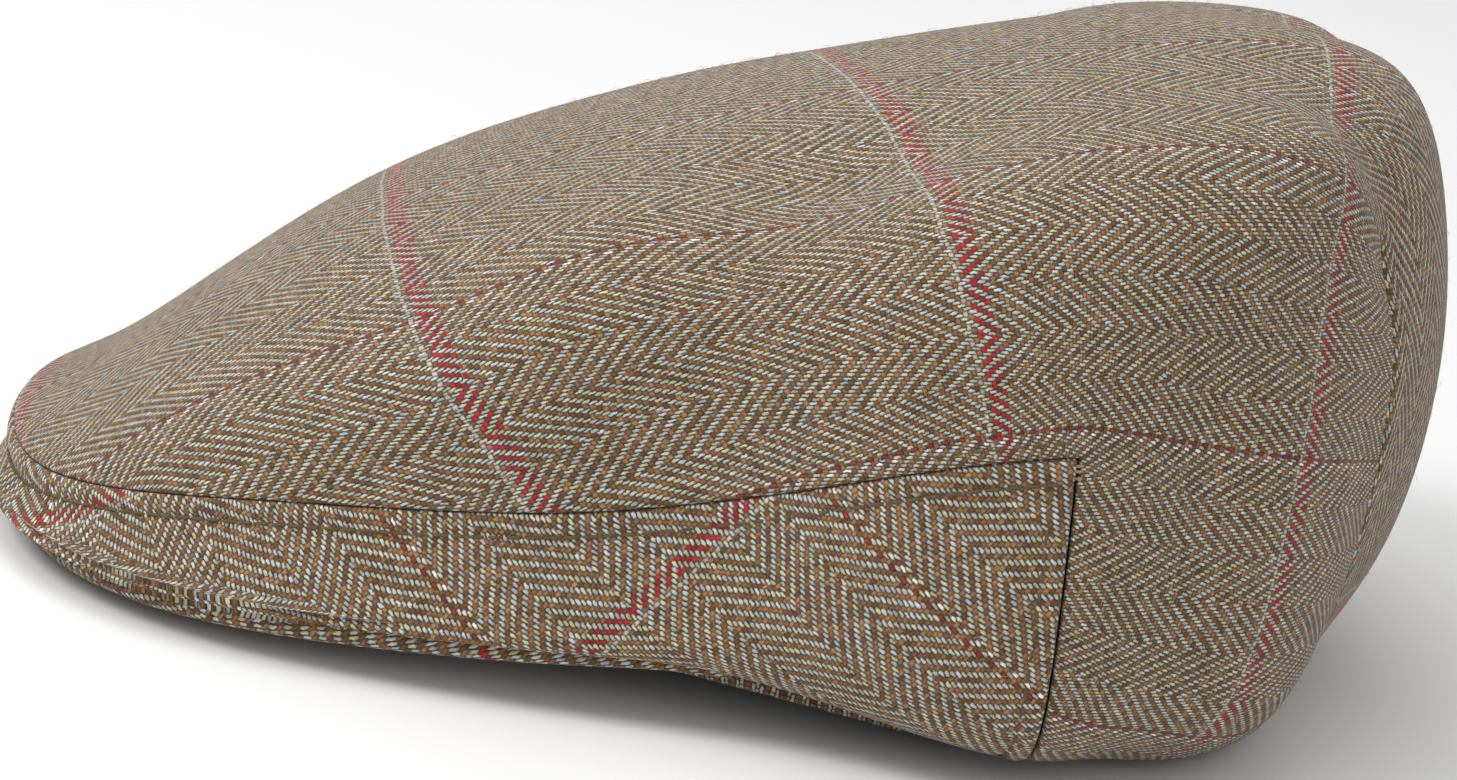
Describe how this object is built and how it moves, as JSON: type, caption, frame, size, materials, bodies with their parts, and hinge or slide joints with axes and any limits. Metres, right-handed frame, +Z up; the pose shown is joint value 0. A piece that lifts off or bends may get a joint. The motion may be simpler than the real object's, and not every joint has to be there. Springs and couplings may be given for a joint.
{
  "type": "flat cap",
  "caption": "Soft tweed flat cap with a rounded crown that slopes forward over a short stiff peak, open underneath for the head",
  "frame": {"origin": "on the ground, under the middle of the cap's box", "axes": "+Z up; the peak points to -Y, so Y is the cap's length; the wearer's left is +X"},
  "size_m": [0.218, 0.2774, 0.1237],
  "materials": {
    "tweed": "woollen herringbone tweed in brown, sage and blue-grey with a windowpane check in red, cream and crimson, matt",
    "peak_tweed": "the same tweed drawn tight over the stiff peak, matt"
  },
  "bodies": {
    "root": {"crown": "tweed", "front_band": "tweed", "peak": "peak_tweed", "head_band": "tweed"}
  },
  "joints": []
}
